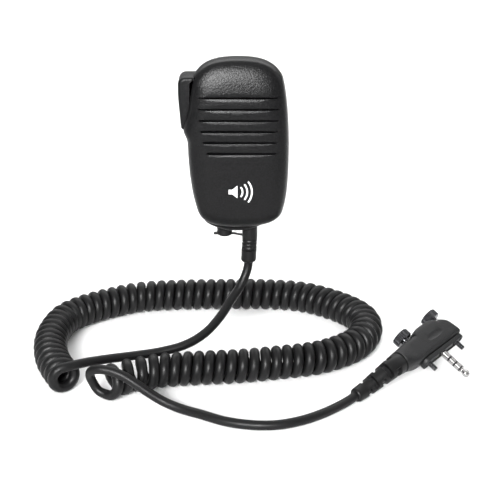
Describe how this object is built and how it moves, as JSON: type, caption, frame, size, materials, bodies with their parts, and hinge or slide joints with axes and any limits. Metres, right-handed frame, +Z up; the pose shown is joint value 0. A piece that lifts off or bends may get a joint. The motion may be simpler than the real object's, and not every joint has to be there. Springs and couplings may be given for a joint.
{
  "type": "hand microphone",
  "caption": "Hand-held radio speaker microphone with a louvred grille, side press-to-talk bar, rear swivel clip, curly cord and a plug with thumb screws.",
  "frame": {"origin": "outer face of the lapel clip behind the microphone, at the height of the clip's swivel screw", "axes": "+X to the right seen from the front, the grille faces -Y and the clip faces +Y, +Z up the microphone"},
  "size_m": [0.2123, 0.1344, 0.1483],
  "materials": {
    "shell": "moulded, fine spark-eroded grain",
    "satin_black": "satin moulded plastic",
    "soft_rubber": "matte moulded rubber",
    "cord_jacket": "satin polyurethane",
    "plug_grey": "matte moulded elastomer",
    "nickel": "polished nickel plate",
    "dark_metal": "black chromate, worn bright on the edges",
    "steel": "plain steel",
    "board": "solder mask",
    "paper": "pressed paper",
    "cloth": "woven dust cloth"
  },
  "bodies": {
    "microphone": {"front_case": "shell", "rear_case": "shell", "plug_insert": "satin_black", "plug_insulator_1": "satin_black", "plug_insulator_2": "satin_black", "plug_insulator_3": "satin_black", "case_gasket": "soft_rubber", "ptt_seal": "soft_rubber", "speaker_gasket": "soft_rubber", "mic_capsule_boot": "soft_rubber", "jack_cap_strap": "soft_rubber", "cable_boot": "soft_rubber", "plug_boot": "soft_rubber", "cord_lead_mic": "cord_jacket", "cord_coil": "cord_jacket", "cord_lead_plug": "cord_jacket", "plug_housing": "plug_grey", "plug_sleeve": "nickel", "plug_ring_1": "nickel", "plug_ring_2": "nickel", "plug_tip": "nickel", "earphone_jack": "nickel", "swivel_washer": "nickel", "speaker_magnet": "dark_metal", "case_screw_1": "steel", "case_screw_2": "steel", "case_screw_3": "steel", "case_screw_4": "steel", "ptt_pivot_pin": "steel", "ptt_switch": "steel", "speaker_frame": "steel", "speaker_bracket": "steel", "mic_capsule": "steel", "cable_clamp": "steel", "clip_swivel_screw": "steel", "circuit_board": "board", "speaker_cone": "paper", "grille_cloth": "cloth"},
    "ptt": {"ptt_button": "satin_black"},
    "plunger": {"ptt_plunger": "satin_black"},
    "clip_swivel": {"clip_plate": "satin_black", "clip_pin": "steel", "clip_spring": "steel"},
    "clip_jaw": {"clip_lever": "satin_black"},
    "jack_cap": {"jack_cap": "soft_rubber"},
    "near_washer": {"near_screw_washer": "nickel"},
    "near_screw": {"near_thumb_screw": "dark_metal"},
    "far_washer": {"far_screw_washer": "nickel"},
    "far_screw": {"far_thumb_screw": "dark_metal"}
  },
  "joints": [
    {"name": "ptt_press", "type": "hinge", "parent": "microphone", "child": "ptt", "pos_m": [-0.0234, -0.024, 0.0092], "axis": [0, 1, 0], "range_deg": [0, 4.5], "stiffness_Nm_per_rad": 1, "springref_deg": -1.72},
    {"name": "ptt_plunger_slide", "type": "slide", "parent": "microphone", "child": "plunger", "axis": [1, 0, 0], "range_m": [0, 0.00132]},
    {"name": "clip_turn", "type": "hinge", "parent": "microphone", "child": "clip_swivel", "pos_m": [0, -0.011, 0], "axis": [0, 1, 0], "continuous": true},
    {"name": "clip_open", "type": "hinge", "parent": "clip_swivel", "child": "clip_jaw", "pos_m": [0, -0.0065, 0.012], "axis": [1, 0, 0], "range_deg": [0, 18], "stiffness_Nm_per_rad": 0.5, "springref_deg": -11.46},
    {"name": "jack_cap_pull", "type": "slide", "parent": "microphone", "child": "jack_cap", "axis": [0, 0, -1], "range_m": [0, 0.007], "deforming": ["jack_cap_strap"]},
    {"name": "near_screw_slide", "type": "slide", "parent": "microphone", "child": "near_washer", "axis": [-0.6851, 0.5606, 0.4651], "range_m": [0, 0.004]},
    {"name": "near_screw_turn", "type": "hinge", "parent": "near_washer", "child": "near_screw", "pos_m": [0.07991, -0.04959, -0.09304], "axis": [-0.6851, 0.5606, 0.4651], "continuous": true},
    {"name": "far_screw_slide", "type": "slide", "parent": "microphone", "child": "far_washer", "axis": [-0.6851, 0.5606, 0.4651], "range_m": [0, 0.004]},
    {"name": "far_screw_turn", "type": "hinge", "parent": "far_washer", "child": "far_screw", "pos_m": [0.09577, -0.03167, -0.09128], "axis": [-0.6851, 0.5606, 0.4651], "continuous": true}
  ],
  "couplings": [
    {"joint": "ptt_plunger_slide", "follows": "ptt_press", "m_per_rad": 0.0168}
  ]
}
